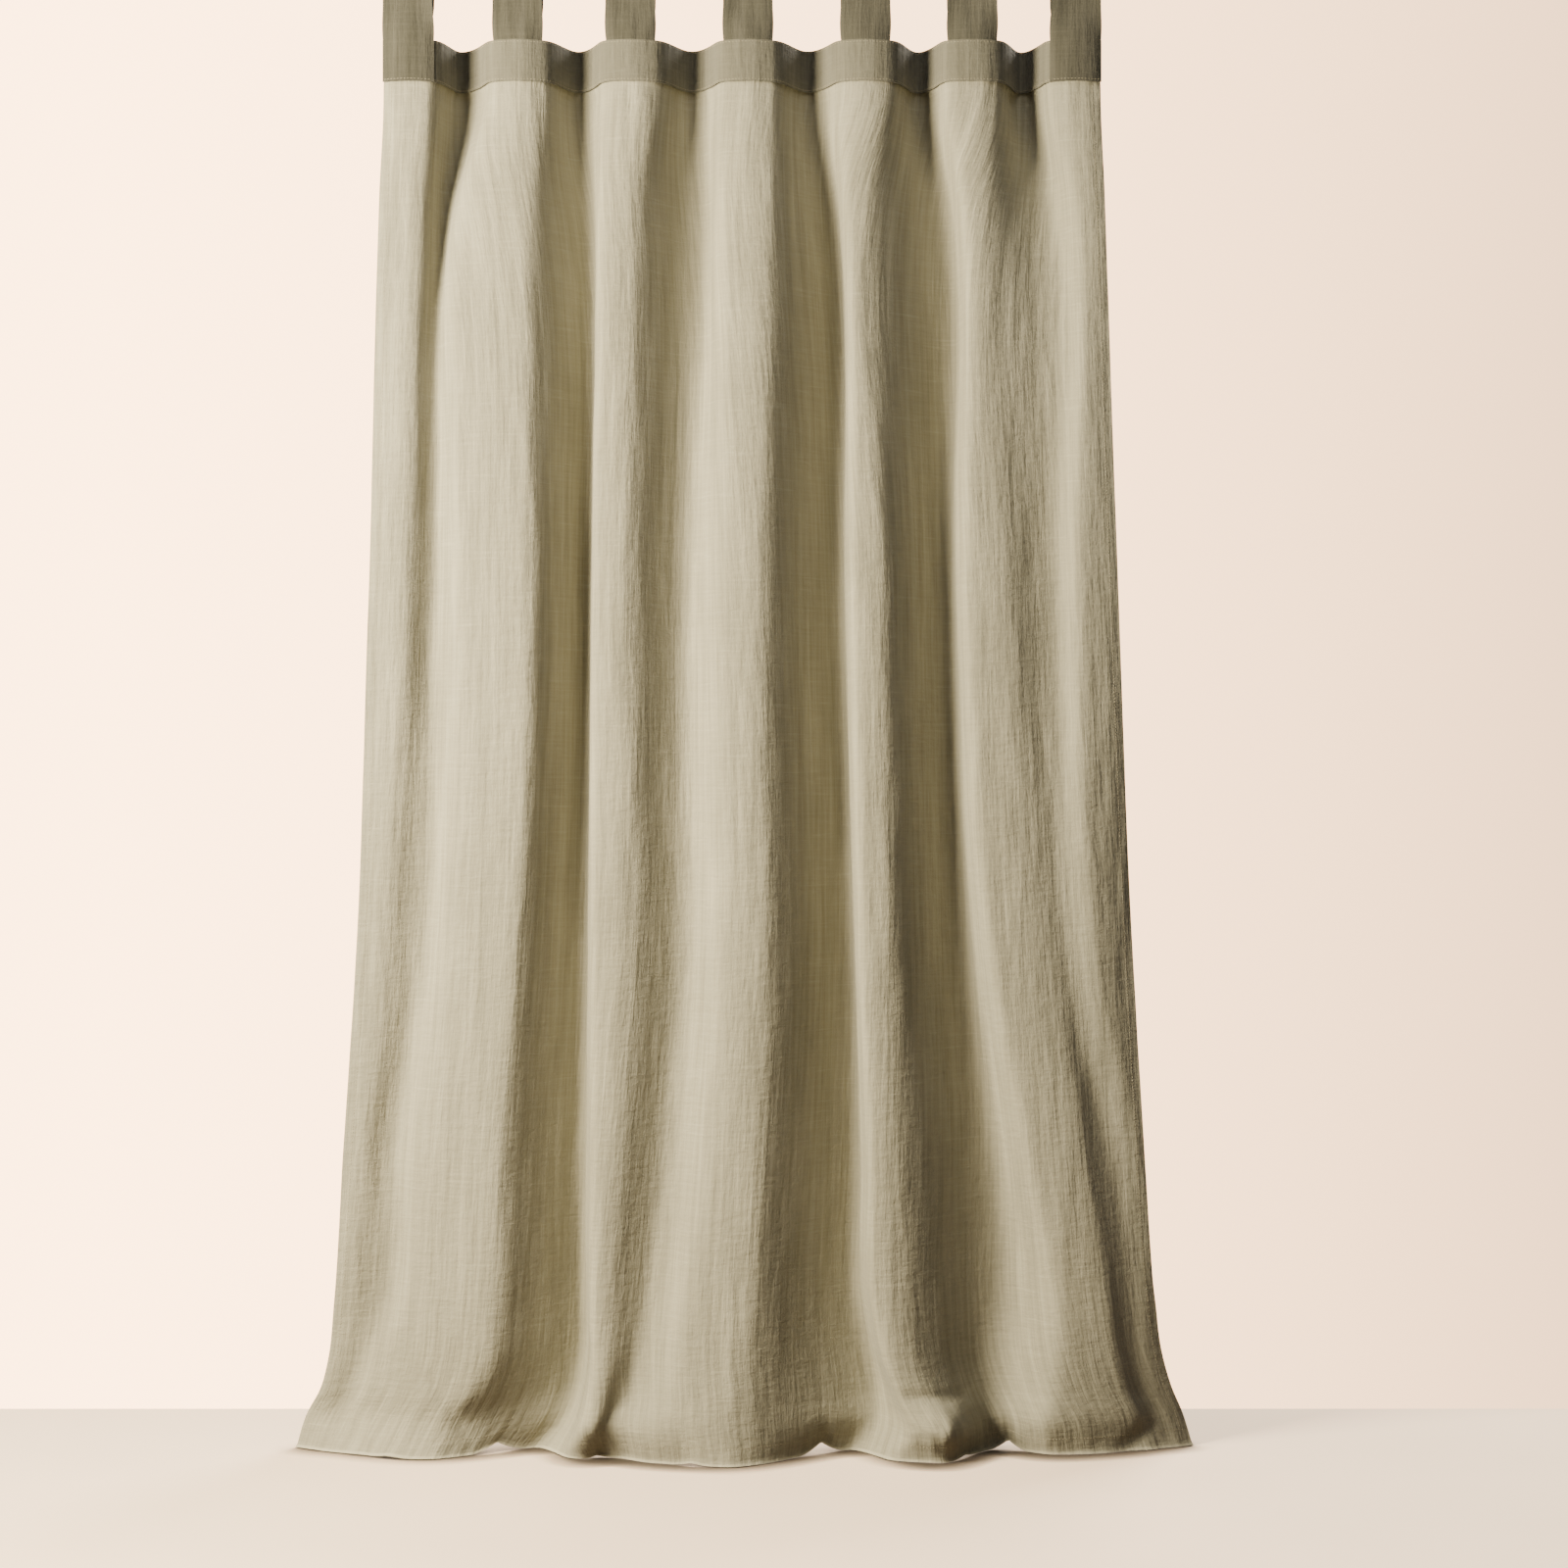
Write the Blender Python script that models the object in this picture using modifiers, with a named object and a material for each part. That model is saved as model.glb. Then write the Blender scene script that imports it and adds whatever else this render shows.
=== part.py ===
"""A tab-top room curtain panel: one width of slub linen with a doubled heading and seven cloth tabs.

Metres, +Z up, +X along the rod and +Y towards the wall. The origin is on the rod's axis, midway
between the two outer tabs. The rod itself is not part of the curtain.
"""

import bmesh
import bpy
import numpy as np
from math import acos, atan2, cos, pi, sin

# The cloth as it was cut and sewn
FLAT_WIDTH = 1.600
TABS = 7
TAB_WIDTH = 0.074
TAB_TUCK = 0.046
FLAT_BESIDE_TAB = 0.002
HEADING_DEPTH = 0.062
SIDE_HEM = 0.015
BOTTOM_HEM = 0.025

# Where it hangs
ROD_RADIUS = 0.014
ROD_CLEARANCE = 0.0005
HEADING_DROP = 0.073
FLOOR_DROP = 2.201
FLOOR_CLEARANCE = 0.0015
HUNG_SPAN = 1.000
TAB_SPACING_SHARES = (0.164, 0.169, 0.176, 0.176, 0.160, 0.155)

# Thickness of each layer, and the gap between two that touch
PANEL_CLOTH = 0.0008
TAB_CLOTH = 0.0016
BAND_CLOTH = 0.0012
INTERLINING = 0.0006
FACING_CLOTH = 0.0008
HEM_CLOTH = 0.0012
THREAD_RADIUS = 0.00025
TOUCH_GAP = 0.0003
STITCH_INSET = 0.003

# Rounding of the folds and the steps that the solids are cut into
RIDGE_HALF = 0.011
COLUMNS_PER_FLANK = 5
ROWS_BELOW_HEADING = 8
FLARE_ROWS = (0.120, 0.070)
LOOP_STEPS = 14
WAVE_STEPS = 40
SOLVER_STEPS = 40
DEEPEST_RELIEF = 3.0
SHARPEST_CORNER = 0.5
SMOOTH_BELOW = 0.8

# Folds below the heading. Each level has its height over the floor, the cloth's width there, how far
# its middle stands in front of the rod and its corners behind that, then the places of the ridges and
# of the valleys between them as shares of the width, and the depth of each valley against the others.
LEVELS = (
    dict(
        height=1.308, width=1.112, front=0.014, back=0.022,
        ridges=(0.024, 0.192, 0.325, 0.501, 0.675, 0.825, 0.960),
        valleys=(0.075, 0.281, 0.397, 0.623, 0.762, 0.901),
        depths=(0.016, 0.062, 0.040, 0.066, 0.060, 0.044),
    ),
    dict(
        height=0.720, width=1.176, front=0.026, back=0.050,
        ridges=(0.021, 0.191, 0.324, 0.496, 0.674, 0.853, 0.957),
        valleys=(0.072, 0.295, 0.380, 0.632, 0.771, 0.916),
        depths=(0.014, 0.066, 0.032, 0.074, 0.064, 0.022),
    ),
    dict(
        height=0.132, width=1.280, front=0.042, back=0.104,
        ridges=(0.014, 0.154, 0.315, 0.469, 0.679, 0.883, 0.957),
        valleys=(0.037, 0.279, 0.364, 0.629, 0.772, 0.930),
        depths=(0.006, 0.066, 0.022, 0.078, 0.062, 0.010),
    ),
    dict(
        height=0.000, width=1.371, front=0.053, back=0.143,
        ridges=(0.030, 0.139, 0.290, 0.485, 0.711, 0.879, 0.960),
        valleys=(0.085, 0.223, 0.335, 0.584, 0.795, 0.930),
        depths=(0.006, 0.060, 0.020, 0.066, 0.050, 0.010),
    ),
)

HEADING_TOP = -HEADING_DROP
HEADING_BASE = HEADING_TOP - HEADING_DEPTH
HEM_LOW = -FLOOR_DROP + FLOOR_CLEARANCE
HEM_TOP = HEM_LOW + BOTTOM_HEM
TAB_PITCH = (FLAT_WIDTH - TAB_WIDTH) / (TABS - 1)
HALF_FLAT = TAB_WIDTH / 2 + FLAT_BESIDE_TAB
GAP_CLOTH = TAB_PITCH - 2 * HALF_FLAT

# Middle of each layer of the heading, measured from the middle of the panel, + towards the wall
FRONT_LEG_AT = -(PANEL_CLOTH / 2 + TOUCH_GAP + TAB_CLOTH / 2)
BAND_AT = FRONT_LEG_AT - TAB_CLOTH / 2 - TOUCH_GAP - BAND_CLOTH / 2
LAPPED_LEG_AT = BAND_AT - BAND_CLOTH / 2 - TOUCH_GAP - TAB_CLOTH / 2
INTERLINING_AT = PANEL_CLOTH / 2 + TOUCH_GAP + INTERLINING / 2
BACK_LEG_AT = INTERLINING_AT + INTERLINING / 2 + TOUCH_GAP + TAB_CLOTH / 2
FACING_AT = BACK_LEG_AT + TAB_CLOTH / 2 + TOUCH_GAP + FACING_CLOTH / 2
HEM_AT = PANEL_CLOTH / 2 + TOUCH_GAP + HEM_CLOTH / 2
BAND_THREAD_AT = BAND_AT - BAND_CLOTH / 2 - TOUCH_GAP - THREAD_RADIUS
PANEL_THREAD_AT = -PANEL_CLOTH / 2 - TOUCH_GAP - THREAD_RADIUS

LINEN = (0.395, 0.355, 0.245, 1.0)
BAND_LINEN = (0.365, 0.325, 0.220, 1.0)
BACKING = (0.520, 0.480, 0.370, 1.0)
THREAD = (0.450, 0.410, 0.300, 1.0)


# ---------------------------------------------------------------- folds

def tab_centres():
    """Where the tabs hang along the rod."""
    steps = np.array(TAB_SPACING_SHARES) * HUNG_SPAN / sum(TAB_SPACING_SHARES)
    return np.concatenate([[0.0], np.cumsum(steps)]) - HUNG_SPAN / 2


def wave(controls, steps=WAVE_STEPS):
    """A rounded line through the ridges and valleys: straight across, eased in depth."""
    s = np.linspace(0, 1, steps, endpoint=False)
    points = [
        np.stack([a[0] + (b[0] - a[0]) * s, a[1] + (b[1] - a[1]) * (1 - np.cos(pi * s)) / 2], axis=1)
        for a, b in zip(controls, controls[1:])
    ]
    return np.vstack(points + [[controls[-1]]])


def run(points):
    """Length along a line, up to each of its points."""
    return np.concatenate([[0.0], np.cumsum(np.linalg.norm(np.diff(points, axis=0), axis=1))])


def solved(length_at, wanted, most):
    """The depth at which the cloth's own length is used up, or 0 where it already hangs straight."""
    low, high = 0.0, most
    for _ in range(SOLVER_STEPS):
        middle = (low + high) / 2
        if length_at(middle) < wanted:
            low = middle
        else:
            high = middle
    return low


def heading_controls():
    """The flat stretch at each tab and the valleys between, deep enough to take up each gap's cloth."""
    centres = tab_centres()
    controls = []
    for k, x in enumerate(centres):
        left = x - (TAB_WIDTH / 2 if k == 0 else HALF_FLAT)
        right = x + (TAB_WIDTH / 2 if k == TABS - 1 else HALF_FLAT)
        controls += [(left, 0.0), (right, 0.0)]
        if k < TABS - 1:
            end = centres[k + 1] - HALF_FLAT
            middle = (right + end) / 2
            depth = solved(
                lambda d: run(wave([(right, 0.0), (middle, d), (end, 0.0)]))[-1], GAP_CLOTH, GAP_CLOTH
            )
            controls.append((middle, depth))
    return np.array(controls)


def level_controls(level):
    """The same points at a lower height, with the depths as they are stated."""
    def at(share, depth=0.0):
        bow = -level["front"] + level["back"] * (2 * share - 1) ** 2
        return (share - 0.5) * level["width"] * HUNG_SPAN, bow + depth

    half = RIDGE_HALF / (level["width"] * HUNG_SPAN)
    controls = []
    for k, share in enumerate(level["ridges"]):
        controls += [
            at(0.0) if k == 0 else at(share - half),
            at(1.0) if k == TABS - 1 else at(share + half),
        ]
        if k < TABS - 1:
            controls.append(at(level["valleys"][k], level["depths"][k]))
    return np.array(controls)


def eased(heights, values, z):
    """A smooth value between levels, by a cubic through each pair."""
    slopes = np.gradient(values, heights, axis=0)
    slopes[-1] = 0
    i = int(np.clip(np.searchsorted(heights, z) - 1, 0, len(heights) - 2))
    span = heights[i + 1] - heights[i]
    t = min(max((z - heights[i]) / span, 0.0), 1.0)
    return (
        (2 * t**3 - 3 * t**2 + 1) * values[i]
        + (t**3 - 2 * t**2 + t) * span * slopes[i]
        + (3 * t**2 - 2 * t**3) * values[i + 1]
        + (t**3 - t**2) * span * slopes[i + 1]
    )


def section(z, columns):
    """The cloth's line at height z, at the given places across the flat cloth."""
    rising = LEVELS[::-1]
    heights = np.array([level["height"] - FLOOR_DROP for level in rising] + [HEADING_BASE])
    values = np.array([level_controls(level) for level in rising] + [heading_controls()])
    controls = eased(heights, values, z)
    ridge_line = controls.copy()
    valleys = slice(2, None, 3)
    before, after = controls[1:-1:3], controls[3::3]
    ridge_line[valleys, 1] = (before[:, 1] + after[:, 1]) / 2
    relief = controls[:, 1] - ridge_line[:, 1]

    def folded(scale):
        line = controls.copy()
        line[:, 1] = ridge_line[:, 1] + relief * scale
        return wave([tuple(point) for point in line])

    points = folded(solved(lambda scale: run(folded(scale))[-1], FLAT_WIDTH, DEEPEST_RELIEF))
    along = run(points)
    along *= FLAT_WIDTH / along[-1]
    return np.stack([np.interp(columns, along, points[:, axis]) for axis in (0, 1)], axis=1)


# ---------------------------------------------------------------- the sheet that every layer follows

def cloth_columns():
    """Places across the flat cloth: tab edges, side hems and even steps over each gap."""
    columns = [0.0, SIDE_HEM]
    for k in range(TABS - 1):
        start = k * TAB_PITCH + TAB_WIDTH / 2 + HALF_FLAT
        columns += list(np.linspace(start, start + GAP_CLOTH, 2 * COLUMNS_PER_FLANK + 1))
        if k < TABS - 2:
            columns.append(start + GAP_CLOTH + HALF_FLAT)
    return np.array(columns + [FLAT_WIDTH - SIDE_HEM, FLAT_WIDTH])


def cloth_rows():
    """Heights of the rows, from the heading's top edge to the hem."""
    flare = [HEM_LOW + height for height in FLARE_ROWS]
    below = np.linspace(HEADING_BASE, flare[0], ROWS_BELOW_HEADING + 1)
    return np.array(
        [HEADING_TOP, HEADING_BASE, HEADING_BASE - TOUCH_GAP]
        + list(below[1:-1])
        + flare
        + [HEM_TOP + TOUCH_GAP, HEM_TOP, HEM_LOW]
    )


def corner_offsets(faces):
    """For each corner of the grid, the way to the wall, lengthened so that a layer keeps its distance."""
    around = np.pad(faces, ((1, 1), (1, 1), (0, 0)), mode="edge")
    beside = np.array([around[:-1, :-1], around[:-1, 1:], around[1:, :-1], around[1:, 1:]])
    mean = beside.sum(axis=0)
    mean /= np.linalg.norm(mean, axis=2, keepdims=True)
    least = (beside * mean).sum(axis=3).min(axis=0)
    return mean / np.maximum(least, SHARPEST_CORNER)[:, :, None]


class Sheet:
    """The middle surface of the panel as rows of points, with the direction that faces the wall."""

    def __init__(self):
        self.columns, self.rows = cloth_columns(), cloth_rows()
        self.points = np.array(
            [[(x, y, z) for x, y in section(z, self.columns)] for z in self.rows]
        )
        across = np.diff(self.points, axis=1)[:-1]
        down = np.diff(self.points, axis=0)[:, :-1]
        faces = np.cross(across, down)
        faces /= np.linalg.norm(faces, axis=2, keepdims=True)
        self.to_wall = corner_offsets(faces)

    def row(self, z):
        return int(np.abs(self.rows - z).argmin())

    def at(self, u, z, offset):
        """A point over the sheet, at a place across the cloth and a height."""
        lower = min(np.searchsorted(-self.rows, -z, side="right"), len(self.rows) - 1)
        upper = max(lower - 1, 0)
        drop = self.rows[upper] - self.rows[lower]
        t = (self.rows[upper] - z) / drop if drop else 0.0
        found = []
        for field in (self.points, self.to_wall):
            line = field[upper] * (1 - t) + field[lower] * t
            found.append(np.array([np.interp(u, self.columns, line[:, axis]) for axis in range(3)]))
        return found[0] + offset * found[1]


# ---------------------------------------------------------------- making objects

def material(name, color, roughness):
    made = bpy.data.materials.new(name)
    made.use_nodes = True
    shader = made.node_tree.nodes["Principled BSDF"]
    shader.inputs["Base Color"].default_value = color
    shader.inputs["Roughness"].default_value = roughness
    shader.inputs["Metallic"].default_value = 0.0
    return made


def grid_object(name, points, thickness, finish, collection):
    """A closed cloth layer: a grid moved onto the points, cut into triangles and given its thickness."""
    rows, columns = points.shape[:2]
    bm = bmesh.new()
    bmesh.ops.create_grid(bm, x_segments=columns - 1, y_segments=rows - 1, size=0.5)
    order = sorted(bm.verts, key=lambda v: (-round(v.co.y, 5), round(v.co.x, 5)))
    for vertex, point in zip(order, points.reshape(-1, 3)):
        vertex.co = point
    bmesh.ops.triangulate(bm, faces=bm.faces[:], quad_method="FIXED")
    mesh = bpy.data.meshes.new(name)
    bm.to_mesh(mesh)
    bm.free()
    mesh.materials.append(finish)
    made = bpy.data.objects.new(name, mesh)
    collection.objects.link(made)
    wall = made.modifiers.new("Thickness", "SOLIDIFY")
    wall.thickness = thickness
    wall.offset = 0.0
    wall.use_even_offset = True
    mesh.shade_smooth()
    mesh.set_sharp_from_angle(angle=SMOOTH_BELOW)
    return made


def layer(sheet, name, offset, thickness, finish, collection, columns=None, rows=None):
    """A layer of cloth that follows the sheet at an offset, over part of its columns and rows."""
    first, last = columns or (0, len(sheet.columns) - 1)
    top, bottom = rows or (0, len(sheet.rows) - 1)
    part = (slice(top, bottom + 1), slice(first, last + 1))
    points = sheet.points[part] + offset * sheet.to_wall[part]
    return grid_object(name, points, thickness, finish, collection)


def thread(name, points, finish, collection):
    """A line of sewing thread lying on the cloth."""
    curve = bpy.data.curves.new(name, "CURVE")
    curve.dimensions = "3D"
    curve.bevel_depth = THREAD_RADIUS
    curve.bevel_resolution = 1
    curve.use_fill_caps = True
    spline = curve.splines.new("POLY")
    spline.points.add(len(points) - 1)
    for target, point in zip(spline.points, points):
        target.co = (*point, 1.0)
    curve.materials.append(finish)
    made = bpy.data.objects.new(name, curve)
    collection.objects.link(made)
    return made


# ---------------------------------------------------------------- the tabs

def touch_angle(y, z, radius, side):
    """Where a straight leg from (y, z) meets the loop round the rod, as an angle from +Y."""
    return atan2(z, y) + side * acos(radius / (y * y + z * z) ** 0.5)


def tab_outline(front_leg, front_end):
    """The middle of a tab's cloth seen along the rod: up the front, round the rod and down the back."""
    radius = ROD_RADIUS + ROD_CLEARANCE + TAB_CLOTH / 2
    kink = HEADING_TOP + TOUCH_GAP
    start = touch_angle(front_leg, kink, radius, -1) % (2 * pi)
    end = touch_angle(BACK_LEG_AT, kink, radius, 1)
    loop = [
        (radius * cos(a), radius * sin(a)) for a in np.linspace(start, end, LOOP_STEPS + 1)
    ]
    return (
        [(front_leg, front_end), (front_leg, kink)]
        + loop
        + [(BACK_LEG_AT, kink), (BACK_LEG_AT, HEADING_TOP - TAB_TUCK)]
    )


def tab(name, x, lapped, finish, collection):
    """A cloth loop over the rod, at x along it. A lapped one ends in front of the heading band."""
    if lapped:
        outline = tab_outline(LAPPED_LEG_AT, HEADING_BASE + TOUCH_GAP)
    else:
        outline = tab_outline(FRONT_LEG_AT, HEADING_TOP - TAB_TUCK)
    sides = (x - TAB_WIDTH / 2, x + TAB_WIDTH / 2)
    points = np.array([[(side, y, z) for side in sides] for y, z in outline])
    return grid_object(name, points, TAB_CLOTH, finish, collection)


# ---------------------------------------------------------------- assembly

def clear_scene():
    for item in list(bpy.data.objects):
        bpy.data.objects.remove(item, do_unlink=True)


def build():
    clear_scene()
    parts = bpy.data.collections.new("curtain_panel")
    bpy.context.scene.collection.children.link(parts)
    linen = material("panel_linen", LINEN, 0.92)
    band = material("heading_linen", BAND_LINEN, 0.92)
    backing = material("heading_backing", BACKING, 0.95)
    sewing = material("sewing_thread", THREAD, 0.70)

    sheet = Sheet()
    heading = (sheet.row(HEADING_TOP), sheet.row(HEADING_BASE))
    hem_top, hem_low = sheet.row(HEM_TOP), sheet.row(HEM_LOW)
    side_rows = (heading[1] + 1, hem_top - 1)
    last = len(sheet.columns) - 1

    layer(sheet, "panel", 0.0, PANEL_CLOTH, linen, parts)
    layer(sheet, "heading_band", BAND_AT, BAND_CLOTH, band, parts, rows=heading)
    layer(sheet, "heading_interlining", INTERLINING_AT, INTERLINING, backing, parts, rows=heading)
    layer(sheet, "heading_back_facing", FACING_AT, FACING_CLOTH, band, parts, rows=heading)
    for name, columns in (("left_side_hem", (0, 1)), ("right_side_hem", (last - 1, last))):
        layer(sheet, name, HEM_AT, HEM_CLOTH, linen, parts, columns, side_rows)
    layer(sheet, "bottom_hem", HEM_AT, HEM_CLOTH, linen, parts, rows=(hem_top, hem_low))

    for k, x in enumerate(tab_centres()):
        lapped = k in (0, TABS - 1)
        name = f"tab_{k + 1}"
        tab(name, x, lapped, band, parts)
        if lapped:
            y = LAPPED_LEG_AT - TAB_CLOTH / 2 - TOUCH_GAP - THREAD_RADIUS
            reach = TAB_WIDTH / 2 - STITCH_INSET
            z = HEADING_BASE + STITCH_INSET
            thread(f"{name}_end_stitch", [(x - reach, y, z), (x + reach, y, z)], sewing, parts)

    inner = sheet.columns[(sheet.columns > TAB_WIDTH) & (sheet.columns < FLAT_WIDTH - TAB_WIDTH)]
    for name, z in (
        ("heading_top_stitch", HEADING_TOP - STITCH_INSET),
        ("heading_seam_stitch", HEADING_BASE + STITCH_INSET),
    ):
        thread(name, [sheet.at(u, z, BAND_THREAD_AT) for u in inner], sewing, parts)
    across = np.concatenate([[STITCH_INSET], sheet.columns[1:-1], [FLAT_WIDTH - STITCH_INSET]])
    thread("bottom_hem_stitch", [sheet.at(u, HEM_TOP, PANEL_THREAD_AT) for u in across], sewing, parts)

    top = HEADING_BASE - STITCH_INSET
    low = HEM_TOP + STITCH_INSET
    down = [top] + [z for z in sheet.rows if low < z < top - STITCH_INSET] + [low]
    for name, u in (
        ("left_hem_stitch", SIDE_HEM - STITCH_INSET / 2),
        ("right_hem_stitch", FLAT_WIDTH - SIDE_HEM + STITCH_INSET / 2),
    ):
        thread(name, [sheet.at(u, z, PANEL_THREAD_AT) for z in down], sewing, parts)


build()
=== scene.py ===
"""A tab-top room curtain in sage-beige slub linen, hung from seven cloth tabs and breaking on the floor.

Metres, +Z up, +X along the rod, +Y towards the wall. The origin is on the rod's axis.
"""

import bmesh
import bpy
import numpy as np
from bpy.props import FloatProperty, FloatVectorProperty, PointerProperty
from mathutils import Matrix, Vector


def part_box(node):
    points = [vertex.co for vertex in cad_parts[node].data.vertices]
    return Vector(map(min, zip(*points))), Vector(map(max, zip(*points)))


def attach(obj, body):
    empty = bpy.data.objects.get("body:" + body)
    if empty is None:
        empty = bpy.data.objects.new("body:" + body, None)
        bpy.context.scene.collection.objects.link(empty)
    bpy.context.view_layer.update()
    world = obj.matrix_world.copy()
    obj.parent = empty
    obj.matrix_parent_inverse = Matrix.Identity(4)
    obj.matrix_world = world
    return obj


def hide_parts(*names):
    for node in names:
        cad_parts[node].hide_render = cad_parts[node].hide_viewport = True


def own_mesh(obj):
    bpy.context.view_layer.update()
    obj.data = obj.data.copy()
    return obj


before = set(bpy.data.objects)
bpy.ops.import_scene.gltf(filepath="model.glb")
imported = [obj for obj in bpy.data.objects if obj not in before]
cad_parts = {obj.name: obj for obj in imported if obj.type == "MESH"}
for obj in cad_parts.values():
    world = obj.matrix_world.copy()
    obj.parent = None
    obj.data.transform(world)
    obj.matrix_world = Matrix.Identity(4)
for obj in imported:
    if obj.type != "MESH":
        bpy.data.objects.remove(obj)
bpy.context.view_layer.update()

bl_info = {
    "name": "Tab-Top Curtain",
    "version": (1, 0, 0),
    "blender": (4, 5, 0),
    "location": "View3D > Sidebar > Curtain",
    "description": "Makes a slub linen curtain panel with a sewn heading and cloth tabs",
    "category": "Add Mesh",
}

# Where the curtain hangs, from the frame
TABS = 7
BAND_LOW, BAND_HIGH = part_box("heading_band")
HEADING_TOP = BAND_HIGH[2]
HEADING_BASE = BAND_LOW[2]
HEM_LIFT = 0.0004
HEM_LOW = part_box("panel")[0][2] + HEM_LIFT
FLOOR_GAP = 0.0015
FLOOR_LEVEL = HEM_LOW - FLOOR_GAP
BOTTOM_HEM = 0.025
SIDE_HEM = 0.015
LAYER_GAP = 0.0003
TAB_BOXES = [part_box(f"tab_{k + 1}") for k in range(TABS)]
TAB_CENTRES = np.array([(low[0] + high[0]) / 2 for low, high in TAB_BOXES])
TAB_WIDTH = TAB_BOXES[0][1][0] - TAB_BOXES[0][0][0]
TAB_TUCK = 0.046
ROD_AT_TAB = 0.0153

# The body the curtain hangs from, and the joint that draws its last tab along the rod
ROOT, DRAW = "cloth", "tab_7_slide"

# Middle of each layer of the heading from the middle of the panel, + towards the wall
FRONT_LEG_AT = -0.0015
BAND_AT = -0.0032
LAPPED_LEG_AT = -0.0049
INTERLINING_AT = 0.0010
BACK_LEG_AT = 0.0024
FACING_AT = 0.0039
HEM_AT = 0.0013

# Fineness of the cloth: for the panel the height where each step starts and the step, from the top
COLUMNS = 261
LINE_POINTS = 640
FLANK_STEPS = 16
SOLVER_STEPS = 18
ROW_STEPS = ((HEADING_TOP, 0.0075), (HEADING_BASE, 0.0080), (-0.235, 0.0137), (-2.060, 0.0052))
HEADING_ROWS = 12
SIDE_HEM_COLUMNS, SIDE_HEM_ROWS = 5, 170
BOTTOM_HEM_ROWS = 7
TAB_COLUMNS = 15
LEG_POINTS, BACK_POINTS, SLOPE_POINTS, LOOP_POINTS = 10, 8, 9, 19
SMOOTH_ANGLE = 60

# Folds by height over the floor, in millimetres along the rod and towards the wall: for each tab the
# two ends of its crest and, but for the last, the bottom of the valley to its right.
FOLDS = (
    (0.000,
     (-681, -613, -581, -526, -472, -316, -261, -231, -222, -97,
      -18, 161, 227, 300, 387, 470, 538, 607, 646, 689),
     (86, 46, 30, 6, 0, 55, 12, 2, 6, -33,
      -52, 32, -8, -20, 50, 36, 42, 62, 78, 98)),
    (0.050,
     (-666, -642, -614, -568, -453, -268, -241, -219, -197, -97,
      -27, 199, 253, 315, 378, 461, 589, 633, 658, 673),
     (81, 72, 69, 47, 14, 63, -31, -34, -21, -46,
      -49, 42, -30, -20, 48, 13, 46, 74, 85, 95)),
    (0.094,
     (-643, -623, -602, -552, -414, -254, -229, -211, -177, -85,
      -18, 206, 235, 276, 378, 470, 570, 614, 638, 654),
     (70, 63, 64, 41, 5, 73, -29, -31, -13, -43,
      -45, 52, -30, -24, 53, 15, 37, 65, 75, 84)),
    (0.138,
     (-631, -609, -583, -535, -390, -248, -223, -206, -160, -77,
      -10, 197, 218, 253, 376, 476, 558, 604, 626, 641),
     (62, 55, 56, 34, -1, 78, -28, -30, -10, -40,
      -42, 55, -30, -26, 57, 16, 31, 58, 67, 76)),
    (0.226,
     (-621, -596, -549, -498, -377, -246, -225, -206, -140, -65,
      5, 179, 199, 235, 388, 476, 545, 603, 615, 628),
     (50, 43, 47, 20, -4, 74, -26, -28, -5, -37,
      -38, 55, -29, -26, 61, 13, 23, 50, 57, 64)),
    (0.440,
     (-606, -579, -536, -473, -368, -247, -225, -194, -111, -36,
      16, 176, 192, 227, 379, 430, 508, 569, 590, 611),
     (34, 28, 39, 9, -7, 67, -22, -25, 2, -32,
      -32, 55, -25, -23, 59, 1, 8, 34, 40, 48)),
    (0.722,
     (-586, -549, -490, -440, -345, -244, -225, -183, -84, -25,
      31, 170, 180, 221, 343, 377, 460, 505, 535, 593),
     (24, 18, 29, 3, -8, 61, -18, -21, 9, -26,
      -26, 56, -21, -19, 58, -6, 4, 16, 15, 41)),
    (1.306,
     (-563, -508, -466, -422, -317, -238, -223, -177, -85, -19,
      26, 152, 166, 208, 317, 334, 389, 479, 504, 567),
     (8, 4, 21, -2, -7, 58, -10, -12, 25, -14,
      -14, 58, -12, -11, 57, -6, -4, 17, 3, 21)),
    (1.890,
     (-546, -480, -452, -422, -319, -235, -213, -166, -62, -28,
      41, 137, 157, 192, 310, 330, 366, 466, 498, 545),
     (4, 2, 41, 0, -3, 58, -4, -5, 50, -6,
      -6, 61, -5, -5, 59, -2, -1, 37, 2, 8)),
)
# For each valley, how far the cloth runs on level out of the crest, into the valley, out of it and
# into the next crest, as shares of the way across
FLANKS = (
    (0.40, 0.35, 0.40, 0.45),
    (0.22, 0.14, 0.40, 0.15),
    (0.40, 0.40, 0.48, 0.50),
    (0.28, 0.20, 0.40, 0.15),
    (0.30, 0.24, 0.42, 0.20),
    (0.32, 0.42, 0.45, 0.30),
)
# The same at the heading, the place of each valley's bottom as a share of the gap between two tabs,
# and how far the flat stretch at a tab runs past its edges
HEADING_FLANKS = np.array([0.38, 0.38, 0.50, 0.13])
HEADING_VALLEYS = (0.36, 0.52, 0.52, 0.52, 0.52, 0.52)
CREST_MARGIN = 0.002
# Bulge of a crest as a share of its width, and the points that round its corners
HEADING_ROUND, CREST_ROUND = 0.120, 0.030
HEADING_REACH, FREE_REACH = 2.0, 1.2
# The height over which the cloth turns from the heading's shape to free folds, and how far each
# tab's folds then stand aside, but for the foot
HEADING_FADE = 0.30
SWAY, SWAY_FOOT = 0.0035, 0.25
DEEPEST_RELIEF = 3.0

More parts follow.
